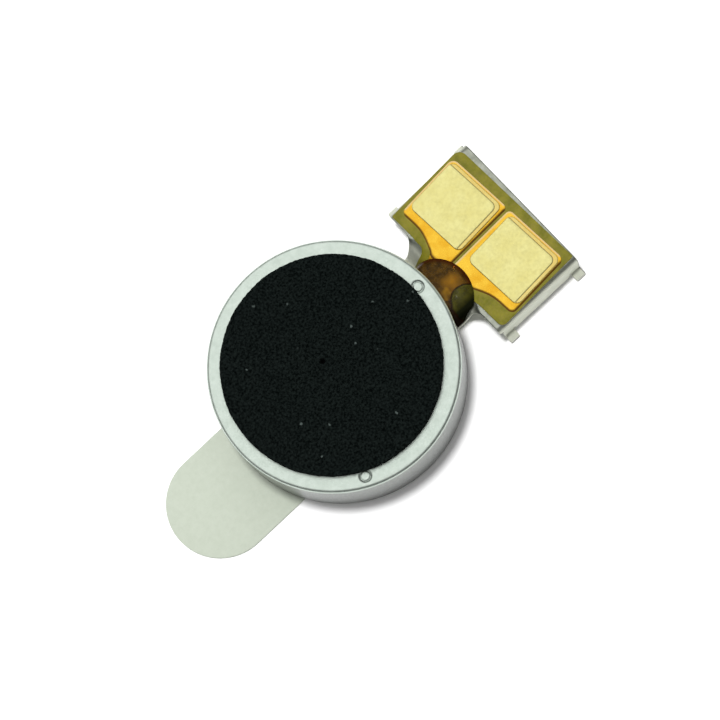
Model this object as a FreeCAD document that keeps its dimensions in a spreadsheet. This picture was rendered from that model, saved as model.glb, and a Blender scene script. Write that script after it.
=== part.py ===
import FreeCAD, Part
import math
import os
from types import SimpleNamespace

import Sketcher
from FreeCAD import Placement, Rotation, Vector

# Vibration coin motor: a 10 mm round case, a flexible circuit that leaves it on a bent metal
# terminal deck, a foam pad on top, and mounting tape with its release liner underneath.
# The Z axis is the motor's shaft, Z = 0 is the underside of the liner, and +X runs to the deck.
# Millimetres and degrees.

DIMENSIONS = {
    # How far a strip or a cutter runs past the edge that it meets
    "lap": 0.50,
    # Case, base plate and the layers stuck to them
    "liner_thickness": 0.10,
    "liner_radius": 4.70,
    "tab_half_width": 2.20,
    "tab_reach": 6.90,
    "tab_offset": -0.26,
    "tape_thickness": 0.15,
    "tape_radius": 4.50,
    "case_radius": 5.00,
    "case_height": 3.40,
    "case_sheet": 0.25,
    "case_edge_round": 0.15,
    "mouth_clearance": 0.02,
    "dimple_spread": 117,
    "dimple_radius": 0.28,
    "dimple_depth": 0.05,
    "dimple_orbit": 4.50,
    "foam_radius": 4.38,
    "foam_thickness": 0.30,
    "foam_offset_x": -0.04,
    "foam_offset_y": 0.05,
    "foam_adhesive_thickness": 0.05,
    "foam_adhesive_inset": 0.05,
    # Bracket: base disc, neck, ramp and terminal deck
    "bracket_sheet": 0.20,
    "neck_half_width": 1.76,
    "neck_root_round": 0.60,
    "notch_gap": 0.09,
    "ramp_foot": 5.15,
    "ramp_run": 0.45,
    "deck_rise": 1.25,
    "deck_inner": 5.75,
    "deck_inner_minus": 5.68,
    "deck_outer": 9.90,
    "deck_half_width": 3.26,
    "deck_bend_round": 0.30,
    "wall_inner": 5.85,
    "foot_length": 0.46,
    "foot_height": 0.20,
    "foot_reach": 0.34,
    # Flexible circuit on the bracket
    "bond_thickness": 0.03,
    "film_thickness": 0.07,
    "film_disc_radius": 4.30,
    "film_eye_radius": 0.70,
    "film_neck_half_width": 1.20,
    "film_neck_end": 5.84,
    "film_corner_round": 0.30,
    "film_outer_plus": 9.60,
    "film_outer_minus": 9.86,
    "film_inner_plus": 5.79,
    "film_inner_minus": 5.90,
    "film_side_plus": 3.26,
    "film_side_minus": 3.16,
    "film_corner_plus": 3.12,
    "film_corner_minus": 3.02,
    "track_thickness": 0.04,
    "track_inner_end": 1.00,
    "track_half_gap": 0.10,
    "track_neck_edge": 0.85,
    "track_land_end": 1.38,
    "track_land_edge": 1.28,
    "print_origin_x": 8.00,
    "print_origin_y": 0.05,
    "print_skew": 3.5,
    "print_outer": 1.29,
    "print_side": 2.97,
    "print_inner": -1.60,
    "print_funnel_start": 1.90,
    "print_funnel_end": -2.05,
    "contact_length": 2.52,
    "contact_width": 2.72,
    "contact_thickness": 0.10,
    "contact_round": 0.20,
    "contact_x": -0.02,
    "contact_y": 1.58,
    "bead_radius": 1.57,
    "bead_x": 4.78,
    "bead_y": -0.44,
    "bead_top": 2.06,
    "bead_round": 0.20,
    # Stator inside the case
    "shaft_radius": 0.40,
    "shaft_top": 3.50,
    "shaft_chamfer": 0.05,
    "recess_radius": 0.42,
    "recess_depth": 0.12,
    "collar_radius": 0.65,
    "collar_top": 1.35,
    "magnet_inner": 1.90,
    "magnet_outer": 4.20,
    "magnet_top": 1.45,
    "glue_channel_half_width": 1.15,
    "washer_bore": 0.41,
    "lower_washer_radius": 0.65,
    "lower_washer_thickness": 0.10,
    "upper_washer_radius": 0.90,
    "upper_washer_thickness": 0.25,
    "brush_sheet": 0.05,
    "brush_lean": 0.0125,
    "brush_width": 0.30,
    "brush_centre": 1.12,
    "brush_root": 1.36,
    "brush_root_end": 1.02,
    "brush_tip_start": -0.96,
    "brush_tip": -1.20,
    "brush_gap": 0.01,
    "solder_radius": 0.13,
    "solder_height": 0.08,
    "solder_x": 1.20,
    # Rotor
    "bearing_bore": 0.415,
    "bearing_radius": 0.90,
    "bearing_bottom": 1.47,
    "bearing_top": 3.10,
    "segment_count": 6,
    "segment_bottom": 1.68,
    "segment_thickness": 0.04,
    "segment_inner": 1.00,
    "segment_outer": 1.75,
    "segment_gap": 0.10,
    "board_thickness": 0.15,
    "board_disc_radius": 1.85,
    "board_fan_radius": 4.20,
    "board_fan_half_angle": 100,
    "rotor_top": 2.95,
    "rotor_radius": 4.35,
    "frame_half_angle": 90,
    "coil_orbit": 2.75,
    "coil_radius": 1.24,
    "coil_hole_radius": 0.45,
    "coil_angle": 61,
    "coil_top": 2.90,
    "weight_inner": 2.00,
    "weight_outer": 4.45,
    "weight_half_angle": 27,
    "weight_top": 3.05,
    "blob_radius": 0.13,
    "blob_height": 0.15,
    "blob_angle": 95,
    "blob_orbit_inner": 2.40,
    "blob_orbit_outer": 3.30,
}

document = FreeCAD.newDocument("vibration_coin_motor")
sheet = document.addObject("Spreadsheet::Sheet", "dims")
for row, (alias, number) in enumerate(DIMENSIONS.items(), start=1):
    sheet.set(f"A{row}", alias)
    sheet.set(f"B{row}", str(number))
    sheet.setAlias(f"B{row}", alias)
document.recompute()


class Size:
    """A number worked out from the sheet, with the expression that keeps it up to date."""

    def __init__(self, value, text):
        self.value = value
        self.text = text

    def joined(self, other, sign, value):
        return Size(value, f"({self.text} {sign} {size_of(other).text})")

    def __add__(self, other):
        return self.joined(other, "+", self.value + size_of(other).value)

    def __sub__(self, other):
        return self.joined(other, "-", self.value - size_of(other).value)

    def __mul__(self, other):
        return self.joined(other, "*", self.value * size_of(other).value)

    def __truediv__(self, other):
        return self.joined(other, "/", self.value / size_of(other).value)

    def __neg__(self):
        return Size(-self.value, f"(0 - {self.text})")


def size_of(number):
    return number if isinstance(number, Size) else Size(number, f"({number})")


def cosine(angle):
    return Size(math.cos(math.radians(angle.value)), f"cos({angle.text} * 1 deg)")


def sine(angle):
    return Size(math.sin(math.radians(angle.value)), f"sin({angle.text} * 1 deg)")


d = SimpleNamespace(**{name: Size(value, f"dims.{name}") for name, value in DIMENSIONS.items()})

# Levels, upwards from the underside of the liner
base_bottom = d.liner_thickness + d.tape_thickness
base_top = base_bottom + d.bracket_sheet
deck_top = base_top + d.deck_rise
case_top = base_bottom + d.case_height
case_ceiling = case_top - d.case_sheet
case_inner = d.case_radius - d.case_sheet
film_top = d.bond_thickness + d.film_thickness          # above the bracket
track_top = film_top + d.track_thickness                # above the bracket
contact_base = deck_top + track_top
board_bottom = d.segment_bottom + d.segment_thickness
board_top = board_bottom + d.board_thickness

nodes = {}


def bind(thing, prop, size):
    thing.setExpression(prop, size_of(size).text)


def place(thing, x=0, y=0, z=0, turn=None):
    """Put an object at (x, y, z), turned about Z."""
    spot = Vector(size_of(x).value, size_of(y).value, size_of(z).value)
    thing.Placement = Placement(spot, Rotation(Vector(0, 0, 1), size_of(turn or 0).value))
    bind(thing, "Placement.Base.x", x)
    bind(thing, "Placement.Base.y", y)
    bind(thing, "Placement.Base.z", z)
    if turn is not None:
        thing.setExpression("Placement.Rotation.Angle", f"{turn.text} * 1 deg")


def node(name, thing):
    """Name a finished sub-part."""
    thing.Label = name
    nodes[name] = thing
    return thing


# Sketches

def constrain(sketch, kind, geometry, point, size):
    """Hold one coordinate of a sketch point at its distance from the sketch's origin."""
    size = size_of(size)
    index = sketch.addConstraint(Sketcher.Constraint(kind, -1, 1, geometry, point, size.value))
    sketch.setExpression(f"Constraints[{index}]", size.text)


def draw_polygon(sketch, corners):
    first = sketch.GeometryCount
    points = [Vector(size_of(x).value, size_of(y).value, 0) for x, y in corners]
    count = len(points)
    for i in range(count):
        sketch.addGeometry(Part.LineSegment(points[i], points[(i + 1) % count]), False)
    for i in range(count):
        following = first + (i + 1) % count
        sketch.addConstraint(Sketcher.Constraint("Coincident", first + i, 2, following, 1))
    for i, (x, y) in enumerate(corners):
        constrain(sketch, "DistanceX", first + i, 1, x)
        constrain(sketch, "DistanceY", first + i, 1, y)


def draw_circle(sketch, radius, x=0, y=0):
    centre = Vector(size_of(x).value, size_of(y).value, 0)
    circle = sketch.addGeometry(Part.Circle(centre, Vector(0, 0, 1), size_of(radius).value), False)
    index = sketch.addConstraint(Sketcher.Constraint("Radius", circle, size_of(radius).value))
    bind(sketch, f"Constraints[{index}]", radius)
    constrain(sketch, "DistanceX", circle, 3, x)
    constrain(sketch, "DistanceY", circle, 3, y)


# Part design bodies

def start_body(name):
    body = document.addObject("PartDesign::Body", name)
    return node(name, body)


def body_sketch(body, plane, height=0):
    """A sketch on one of the body's own planes, raised by height."""
    sketch = body.newObject("Sketcher::SketchObject", f"{body.Name}_sketch")
    origin_planes = [item for item in body.Origin.OriginFeatures if item.Role == plane]
    sketch.AttachmentSupport = [(origin_planes[0], "")]
    sketch.MapMode = "FlatFace"
    bind(sketch, "AttachmentOffset.Base.z", height)
    return sketch


def pad(body, sketch, length, midplane=False):
    feature = body.newObject("PartDesign::Pad", f"{body.Name}_pad")
    feature.Profile = sketch
    feature.Midplane = midplane
    bind(feature, "Length", length)
    return feature


def pocket(body, sketch, length, upwards=False):
    """Cut a pocket and make sure that it takes material away."""
    document.recompute()
    volume = body.Shape.Volume
    feature = body.newObject("PartDesign::Pocket", f"{body.Name}_pocket")
    feature.Profile = sketch
    feature.Reversed = upwards
    bind(feature, "Length", length)
    document.recompute()
    if body.Shape.Volume >= volume:
        raise RuntimeError(f"{body.Label}: a pocket cuts nothing")
    return feature


def dress_up(body, kind, prop, base, radius, wanted):
    """Fillet or chamfer the edges of the base feature that the wanted test picks."""
    document.recompute()
    names = [f"Edge{i}" for i, edge in enumerate(base.Shape.Edges, start=1) if wanted(edge)]
    feature = body.newObject(f"PartDesign::{kind}", f"{body.Name}_{kind.lower()}")
    feature.Base = (base, names)
    bind(feature, prop, radius)
    return feature


def is_upright(edge):
    ends = edge.BoundBox
    return ends.XLength < 1e-6 and ends.YLength < 1e-6


def ring(name, outer, inner, low, high, x=0, y=0):
    body = start_body(name)
    sketch = body_sketch(body, "XY_Plane")
    draw_circle(sketch, outer)
    draw_circle(sketch, inner)
    pad(body, sketch, high - low)
    place(body, x, y, low)
    return body


# Part primitives, extrusions and booleans

def cylinder(name, radius, low, high, x=0, y=0):
    solid = document.addObject("Part::Cylinder", name)
    bind(solid, "Radius", radius)
    bind(solid, "Height", high - low)
    place(solid, x, y, low)
    return solid


def sector(name, radius, half_angle, low, high):
    """A slice of a cylinder, the same each side of +X."""
    solid = document.addObject("Part::Cylinder", name)
    bind(solid, "Radius", radius)
    bind(solid, "Height", high - low)
    bind(solid, "Angle", half_angle * 2)
    place(solid, 0, 0, low, turn=-half_angle)
    return solid


def block(name, low_corner, high_corner):
    solid = document.addObject("Part::Box", name)
    for prop, low, high in zip(("Length", "Width", "Height"), low_corner, high_corner):
        bind(solid, prop, high - low)
    place(solid, *low_corner)
    return solid


def cone(name, base_radius, height, x, y, z):
    solid = document.addObject("Part::Cone", name)
    bind(solid, "Radius1", base_radius)
    bind(solid, "Radius2", base_radius / 2)
    bind(solid, "Height", height)
    place(solid, x, y, z)
    return solid


def prism(name, corners, rotation, direction, start, length):
    """A sketched outline in a turned plane, pushed along a direction."""
    sketch = document.addObject("Sketcher::SketchObject", f"{name}_sketch")
    sketch.Placement = Placement(Vector(0, 0, 0), rotation)
    for axis, part in zip("xyz", direction):
        if part:
            bind(sketch, f"Placement.Base.{axis}", start)
    draw_polygon(sketch, corners)
    solid = document.addObject("Part::Extrusion", name)
    solid.Base = sketch
    solid.DirMode = "Custom"
    solid.Dir = direction
    solid.Solid = True
    bind(solid, "LengthFwd", length)
    return solid


def plan_prism(name, corners, low, high):
    """An outline in X and Y, from one level up to another."""
    return prism(name, corners, Rotation(), Vector(0, 0, 1), low, high - low)


def side_prism(name, corners, half_width):
    """A profile in X and Z, as wide each side of the middle."""
    upright = Rotation(Vector(1, 0, 0), 90)
    return prism(name, corners, upright, Vector(0, 1, 0), -half_width, half_width * 2)


def cut(name, base, tool):
    result = document.addObject("Part::Cut", name)
    result.Base = base
    result.Tool = tool
    return result


def fuse(name, *solids):
    result = document.addObject("Part::MultiFuse", name)
    result.Shapes = list(solids)
    return result


def common(name, *solids):
    result = document.addObject("Part::MultiCommon", name)
    result.Shapes = list(solids)
    return result


def group(name, *solids):
    result = document.addObject("Part::Compound", name)
    result.Links = list(solids)
    return result


def round_edges(name, base, radius, wanted):
    """Fillet the edges of a solid that the wanted test picks."""
    document.recompute()
    edges = [(i, radius.value, radius.value)
             for i, edge in enumerate(base.Shape.Edges, start=1) if wanted(edge)]
    result = document.addObject("Part::Fillet", name)
    result.Base = base
    result.Edges = edges
    return result


def at_corners(corners):
    """A test for upright edges that stand on one of the given corners."""
    spots = [Vector(size_of(x).value, size_of(y).value, 0) for x, y in corners]

    def wanted(edge):
        foot = edge.Vertexes[0].Point
        near = [spot for spot in spots if spot.distanceToPoint(Vector(foot.x, foot.y, 0)) < 1e-4]
        return is_upright(edge) and bool(near)

    return wanted


# Case, foam, tape and liner

def make_case_cover():
    """A drawn steel cup, open downwards, with a notch for the neck and two punch marks."""
    body = start_body("case_cover")
    profile = body_sketch(body, "XZ_Plane")
    recess_top = case_ceiling + d.recess_depth
    draw_polygon(profile, [
        (case_inner, base_bottom), (d.case_radius, base_bottom), (d.case_radius, case_top),
        (0, case_top), (0, recess_top), (d.recess_radius, recess_top),
        (d.recess_radius, case_ceiling), (case_inner, case_ceiling)])
    shell = body.newObject("PartDesign::Revolution", "case_shell")
    shell.Profile = profile
    shell.ReferenceAxis = (profile, ["V_Axis"])
    shell.Angle = 360

    def is_top_rim(edge):
        box = edge.BoundBox
        return box.ZLength < 1e-6 and abs(box.ZMax - case_top.value) < 1e-6 and box.XLength > 9

    dress_up(body, "Fillet", "Radius", shell, d.case_edge_round, is_top_rim)

    notch = body_sketch(body, "XY_Plane", base_bottom)
    notch_half_width = d.neck_half_width + d.notch_gap
    notch_inner = case_inner - d.lap
    notch_outer = d.case_radius + d.lap
    draw_polygon(notch, [
        (notch_inner, -notch_half_width), (notch_outer, -notch_half_width),
        (notch_outer, notch_half_width), (notch_inner, notch_half_width)])
    notch_height = base_top - base_bottom + track_top + d.notch_gap
    pocket(body, notch, notch_height, upwards=True)

    mark = body_sketch(body, "XY_Plane", case_top)
    draw_circle(mark, d.dimple_radius, d.dimple_orbit)
    dimple = pocket(body, mark, d.dimple_depth)
    marks = body.newObject("PartDesign::PolarPattern", "case_dimples")
    marks.Originals = [dimple]
    marks.Axis = (mark, ["N_Axis"])
    marks.Reversed = True
    bind(marks, "Angle", d.dimple_spread)
    marks.Occurrences = 2
    body.Tip = marks


def make_foam():
    """A round foam cushion on its adhesive, stuck a little off centre."""
    adhesive_top = case_top + d.foam_adhesive_thickness
    spot = (d.foam_offset_x, d.foam_offset_y)
    adhesive_radius = d.foam_radius - d.foam_adhesive_inset
    node("foam_adhesive", cylinder("foam_adhesive", adhesive_radius, case_top, adhesive_top, *spot))
    foam_top = adhesive_top + d.foam_thickness
    node("foam_pad", cylinder("foam_pad", d.foam_radius, adhesive_top, foam_top, *spot))


def make_mounting_tape():
    node("mounting_tape", cylinder("mounting_tape", d.tape_radius, d.liner_thickness, base_bottom))


def make_release_liner():
    """A disc under the tape with a round-ended tab to pull it off by."""
    zero = size_of(0)
    cover = cylinder("liner_disc", d.liner_radius, zero, d.liner_thickness)
    low_corner = (-d.tab_reach, d.tab_offset - d.tab_half_width, zero)
    high_corner = (zero, d.tab_offset + d.tab_half_width, d.liner_thickness)
    tab = block("liner_tab", low_corner, high_corner)
    tip = cylinder("liner_tip", d.tab_half_width, zero, d.liner_thickness, -d.tab_reach, d.tab_offset)
    node("release_liner", fuse("release_liner", cover, tab, tip))


# Bracket and the flexible circuit that follows it

def bent_strip(name, start, finish, low, high, half_width):
    """A layer that follows the bracket's upper side up the ramp, between two heights above it."""
    ramp_angle = Size(math.degrees(math.atan2(d.deck_rise.value, d.ramp_run.value)),
                      f"(atan({d.deck_rise.text} / {d.ramp_run.text}) / 1 deg)")
    half_turn = ramp_angle / 2
    lean = sine(half_turn) / cosine(half_turn)
    ramp_head = d.ramp_foot + d.ramp_run
    corners = []
    for height in (low, high):
        line = [(start, base_top + height), (d.ramp_foot - height * lean, base_top + height),
                (ramp_head - height * lean, deck_top + height), (finish, deck_top + height)]
        corners += line if not corners else line[::-1]
    return side_prism(name, corners, half_width)


def make_base_bracket():
    """Base plate with the shaft collar, and the neck, ramp and deck folded from the same sheet."""
    plate_radius = case_inner - d.mouth_clearance
    plate = cylinder("base_plate", plate_radius, base_bottom, base_top)
    collar = cylinder("shaft_collar", d.collar_radius, base_bottom, d.collar_top)

    neck_start = plate_radius - d.lap
    overlap = d.wall_inner + d.bracket_sheet
    strip = bent_strip("neck_strip", neck_start, overlap, -d.bracket_sheet, size_of(0), d.deck_half_width)
    tongue = d.deck_half_width - d.neck_half_width
    root = [(d.deck_inner_minus, -d.neck_half_width), (d.deck_inner, d.neck_half_width)]
    outline = plan_prism("neck_outline", [
        (neck_start, -d.neck_half_width), root[0], (d.deck_inner_minus, -d.deck_half_width),
        (d.wall_inner, -d.deck_half_width), (d.wall_inner, -tongue), (overlap, -tongue),
        (overlap, tongue), (d.wall_inner, tongue), (d.wall_inner, d.deck_half_width),
        (d.deck_inner, d.deck_half_width), root[1], (neck_start, d.neck_half_width)],
        size_of(0), deck_top + d.bracket_sheet)
    outline = round_edges("neck_rounded", outline, d.neck_root_round, at_corners(root))
    neck = common("neck", strip, outline)

    wall_face = d.deck_half_width - d.bracket_sheet
    channel = prism("deck_channel", [
        (-d.deck_half_width, d.liner_thickness), (-wall_face, d.liner_thickness),
        (-wall_face, deck_top - d.bracket_sheet), (wall_face, deck_top - d.bracket_sheet),
        (wall_face, d.liner_thickness), (d.deck_half_width, d.liner_thickness),
        (d.deck_half_width, deck_top), (-d.deck_half_width, deck_top)],
        Rotation(Vector(1, 1, 1), 120), Vector(1, 0, 0), d.wall_inner, d.deck_outer - d.wall_inner)

    def is_bend(edge):
        box = edge.BoundBox
        side = abs(abs(box.YMax) - d.deck_half_width.value) < 1e-6
        return box.XLength > 1 and side and abs(box.ZMin - deck_top.value) < 1e-6

    channel = round_edges("deck_folded", channel, d.deck_bend_round, is_bend)

    feet = []
    foot_tip = d.deck_half_width + d.foot_reach
    foot_top = d.liner_thickness + d.foot_height
    for start in (d.wall_inner, d.deck_outer - d.foot_length):
        for inner, outer in ((wall_face, foot_tip), (-foot_tip, -wall_face)):
            corner = (start, inner, d.liner_thickness)
            feet.append(block("deck_foot", corner, (start + d.foot_length, outer, foot_top)))

    sheet_metal = fuse("bracket_sheet_metal", plate, collar, neck, channel, *feet)
    bore = cylinder("collar_bore", d.shaft_radius, base_bottom, d.collar_top)
    node("base_bracket", cut("base_bracket", sheet_metal, bore))


def make_flex_layer(name, low, high):
    """One layer of the flexible circuit: a disc under the magnet, and the tail out to the deck."""
    bottom, top = base_top + low, base_top + high
    disc = cut(f"{name}_disc", cylinder(f"{name}_round", d.film_disc_radius, bottom, top),
               cylinder(f"{name}_eye", d.film_eye_radius, bottom, top))
    start = d.film_disc_radius - d.lap
    strip = bent_strip(f"{name}_strip", start, d.deck_outer, low, high, d.deck_half_width)
    throat = [(d.film_neck_end, -d.film_neck_half_width), (d.film_neck_end, d.film_neck_half_width)]
    tips = [(d.film_inner_minus, -d.film_side_minus), (d.film_outer_plus, d.film_side_plus)]
    outline = plan_prism(f"{name}_outline", [
        (start, -d.film_neck_half_width), throat[0], tips[0],
        (d.film_outer_minus, -d.film_corner_minus), tips[1],
        (d.film_inner_plus, d.film_corner_plus), throat[1], (start, d.film_neck_half_width)],
        size_of(0), deck_top + high)
    outline = round_edges(f"{name}_rounded", outline, d.film_corner_round, at_corners(throat + tips))
    node(name, fuse(name, disc, common(f"{name}_tail", strip, outline)))


def on_print(along, across):
    """A point of the printed pattern, which lies a few degrees askew on the deck."""
    x = d.print_origin_x + along * cosine(d.print_skew) - across * sine(d.print_skew)
    y = d.print_origin_y + along * sine(d.print_skew) + across * cosine(d.print_skew)
    return x, y


def make_conductor(name, side):
    """One copper track: from its brush, out along the neck, to the island under its contact."""
    strip = bent_strip(f"{name}_strip", d.track_inner_end, d.deck_outer, film_top, track_top,
                       d.deck_half_width)
    gap = d.track_half_gap * side
    outline = plan_prism(f"{name}_outline", [
        (d.track_inner_end, gap), (d.ramp_foot, gap), on_print(d.print_outer, gap),
        on_print(d.print_outer, d.print_side * side), on_print(d.print_inner, d.print_side * side),
        on_print(d.print_inner, d.print_funnel_start * side),
        on_print(d.print_funnel_end, d.track_neck_edge * side),
        (d.ramp_foot, d.track_neck_edge * side), (d.track_land_end, d.track_neck_edge * side),
        (d.track_land_end, d.track_land_edge * side), (d.track_inner_end, d.track_land_edge * side)],
        size_of(0), contact_base)
    node(name, common(name, strip, outline))


def make_contact(name, along, across):
    """A nearly square gilded plate, soldered flat on its island."""
    body = start_body(name)
    sketch = body_sketch(body, "XY_Plane")
    half_length, half_width = d.contact_length / 2, d.contact_width / 2
    draw_polygon(sketch, [(-half_length, -half_width), (half_length, -half_width),
                          (half_length, half_width), (-half_length, half_width)])
    plate = pad(body, sketch, d.contact_thickness)
    dress_up(body, "Fillet", "Radius", plate, d.contact_round, is_upright)
    place(body, *on_print(along, across), contact_base, turn=d.print_skew)


def make_sealing_bead():
    """A drop of resin on the neck that seals the notch and locks ramp and case together."""
    bottom = base_top + track_top
    drop = cylinder("bead_drop", d.bead_radius, bottom, d.bead_top, d.bead_x, d.bead_y)

    def is_top(edge):
        box = edge.BoundBox
        return box.ZLength < 1e-6 and abs(box.ZMax - d.bead_top.value) < 1e-6

    drop = round_edges("bead_domed", drop, d.bead_round, is_top)
    above = bent_strip("bead_space", d.case_radius - d.lap, d.print_origin_x, track_top,
                       d.bead_top - base_top, d.neck_half_width)
    case = cylinder("bead_case_face", d.case_radius, size_of(0), case_top)
    node("sealing_bead", cut("sealing_bead", common("bead_above", drop, above), case))


# Stator: shaft, magnet, brushes and washers

def make_shaft():
    body = start_body("shaft")
    sketch = body_sketch(body, "XY_Plane")
    draw_circle(sketch, d.shaft_radius)
    rod = pad(body, sketch, d.shaft_top - base_bottom)
    dress_up(body, "Chamfer", "Size", rod, d.shaft_chamfer, lambda edge: edge.BoundBox.ZLength < 1e-6)
    place(body, z=base_bottom)


def make_magnet():
    """A ring magnet glued over the circuit, with the tracks running out under it."""
    glue_bottom = base_top + film_top
    magnet_bottom = base_top + track_top
    ring("magnet", d.magnet_outer, d.magnet_inner, magnet_bottom, d.magnet_top)
    spread = cylinder("glue_spread", d.magnet_outer, glue_bottom, magnet_bottom)
    bore = cylinder("glue_bore", d.magnet_inner, glue_bottom, magnet_bottom)
    half = d.glue_channel_half_width
    channel = block("glue_channel", (size_of(0), -half, glue_bottom), (d.case_radius, half, magnet_bottom))
    node("magnet_glue", cut("magnet_glue", cut("glue_ring", spread, bore), channel))


def make_brush(name, side):
    """A leaf spring from its track up to the commutator."""
    body = start_body(name)
    sketch = body_sketch(body, "XZ_Plane")
    foot = base_top + track_top
    tip = d.segment_bottom - d.brush_gap - d.brush_sheet
    lean = d.brush_lean
    draw_polygon(sketch, [
        (d.brush_root, foot), (d.brush_root_end, foot), (d.brush_tip_start, tip), (d.brush_tip, tip),
        (d.brush_tip, tip + d.brush_sheet), (d.brush_tip_start + lean, tip + d.brush_sheet),
        (d.brush_root_end + lean, foot + d.brush_sheet), (d.brush_root, foot + d.brush_sheet)])
    pad(body, sketch, d.brush_width, midplane=True)
    place(body, y=d.brush_centre * side)


def make_brush_solder():
    top_of_root = base_top + track_top + d.brush_sheet
    blobs = [cone("solder_fillet", d.solder_radius, d.solder_height, d.solder_x, y, top_of_root)
             for y in (d.brush_centre, -d.brush_centre)]
    node("brush_solder", group("brush_solder", *blobs))


def make_washers():
    lower_top = d.collar_top + d.lower_washer_thickness
    ring("lower_washer", d.lower_washer_radius, d.washer_bore, d.collar_top, lower_top)
    upper_bottom = case_ceiling - d.upper_washer_thickness
    ring("upper_washer", d.upper_washer_radius, d.washer_bore, upper_bottom, case_ceiling)


# Rotor

def make_commutator():
    """Six gilded segments under a glass-fibre board, which fans out to carry the coils."""
    segments = cut("segment_ring",
                   cylinder("segment_disc", d.segment_outer, d.segment_bottom, board_bottom),
                   cylinder("segment_hole", d.segment_inner, d.segment_bottom, board_bottom))
    slots = []
    for i in range(DIMENSIONS["segment_count"] // 2):
        slot = document.addObject("Part::Box", "segment_slot")
        bind(slot, "Length", d.segment_outer * 2)
        bind(slot, "Width", d.segment_gap)
        bind(slot, "Height", d.segment_thickness)
        angle = size_of(i) * 360 / d.segment_count
        back, aside = d.segment_outer, d.segment_gap / 2
        place(slot, aside * sine(angle) - back * cosine(angle),
              -aside * cosine(angle) - back * sine(angle), d.segment_bottom, turn=angle)
        slots.append(slot)
    node("commutator_segments", cut("commutator_segments", segments, fuse("segment_slots", *slots)))

    hub = cylinder("board_hub", d.board_disc_radius, board_bottom, board_top)
    fan = sector("board_fan", d.board_fan_radius, d.board_fan_half_angle, board_bottom, board_top)
    eye = cylinder("board_eye", d.bearing_radius, board_bottom, board_top)
    node("commutator_board", cut("commutator_board", fuse("board_blank", hub, fan), eye))


def coil_spots():
    for name, side in (("coil_a", 1), ("coil_b", -1)):
        angle = d.coil_angle * side
        yield name, d.coil_orbit * cosine(angle), d.coil_orbit * sine(angle)


def make_coils():
    for name, x, y in coil_spots():
        ring(name, d.coil_radius, d.coil_hole_radius, board_top, d.coil_top, x, y)


def make_weight():
    """A thick tungsten arc at the rim, which throws the rotor off balance."""
    slab = sector("weight_slab", d.weight_outer, d.weight_half_angle, board_top, d.weight_top)
    hub = cylinder("weight_hub", d.weight_inner, board_top, d.weight_top)
    node("weight", cut("weight", slab, hub))


def make_rotor_frame():
    """Moulded resin half disc that holds the bearing, the coils and the weight."""
    blank = sector("frame_blank", d.rotor_radius, d.frame_half_angle, board_top, d.rotor_top)
    holes = [cylinder("frame_coil_hole", d.coil_radius, board_top, d.rotor_top, x, y)
             for _, x, y in coil_spots()]
    slab = sector("frame_weight_slab", d.weight_outer, d.weight_half_angle, board_top, d.weight_top)
    hub = cylinder("frame_weight_hub", d.weight_inner, board_top, d.weight_top)
    seat = cylinder("frame_bearing_seat", d.bearing_radius, board_top, d.rotor_top)
    pockets = fuse("frame_pockets", *holes, cut("frame_weight_pocket", slab, hub), seat)
    node("rotor_frame", cut("rotor_frame", blank, pockets))


def make_coil_solder():
    """The coils' four ends, soldered to the bare edges of the board."""
    blobs = []
    for side in (1, -1):
        angle = d.blob_angle * side
        for orbit in (d.blob_orbit_inner, d.blob_orbit_outer):
            spot = (orbit * cosine(angle), orbit * sine(angle), board_top)
            blobs.append(cone("coil_end", d.blob_radius, d.blob_height, *spot))
    node("coil_solder", group("coil_solder", *blobs))


make_case_cover()
make_foam()
make_mounting_tape()
make_release_liner()
make_base_bracket()
make_flex_layer("flex_bond", size_of(0), d.bond_thickness)
make_flex_layer("flex_film", d.bond_thickness, film_top)
make_conductor("conductor_a", 1)
make_conductor("conductor_b", -1)
make_contact("contact_a", d.contact_x, d.contact_y)
make_contact("contact_b", d.contact_x, -d.contact_y)
make_sealing_bead()
make_shaft()
make_magnet()
make_brush("brush_a", 1)
make_brush("brush_b", -1)
make_brush_solder()
make_washers()
ring("bearing", d.bearing_radius, d.bearing_bore, d.bearing_bottom, d.bearing_top)
make_commutator()
make_coils()
make_weight()
make_rotor_frame()
make_coil_solder()

document.recompute()
for thing in document.Objects:
    if {"Invalid", "Error"} & set(thing.State):
        raise RuntimeError(f"{thing.Label}: {thing.State}")
for name, thing in nodes.items():
    if thing.Shape.isNull() or not thing.Shape.isValid() or not thing.Shape.Solids:
        raise RuntimeError(f"{name}: no valid solid")

os.makedirs("parts", exist_ok=True)
for name, thing in nodes.items():
    thing.Shape.exportStep(f"parts/{name}.step")
    box = thing.Shape.BoundBox
    print(f"{name:20s} solids {len(thing.Shape.Solids)}  volume {thing.Shape.Volume:8.4f}  "
          f"x {box.XMin:6.2f} {box.XMax:6.2f}  y {box.YMin:6.2f} {box.YMax:6.2f}  "
          f"z {box.ZMin:5.2f} {box.ZMax:5.2f}")
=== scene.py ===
"""A vibration coin motor, seen from above on a pale floor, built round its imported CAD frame."""

from math import asin, atan2, ceil, cos, degrees, dist, exp, hypot, pi, radians, sin, sqrt, tan

import bpy
import numpy as np
from mathutils import Matrix, Vector
from mathutils.geometry import delaunay_2d_cdt
from mathutils.noise import noise


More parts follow.
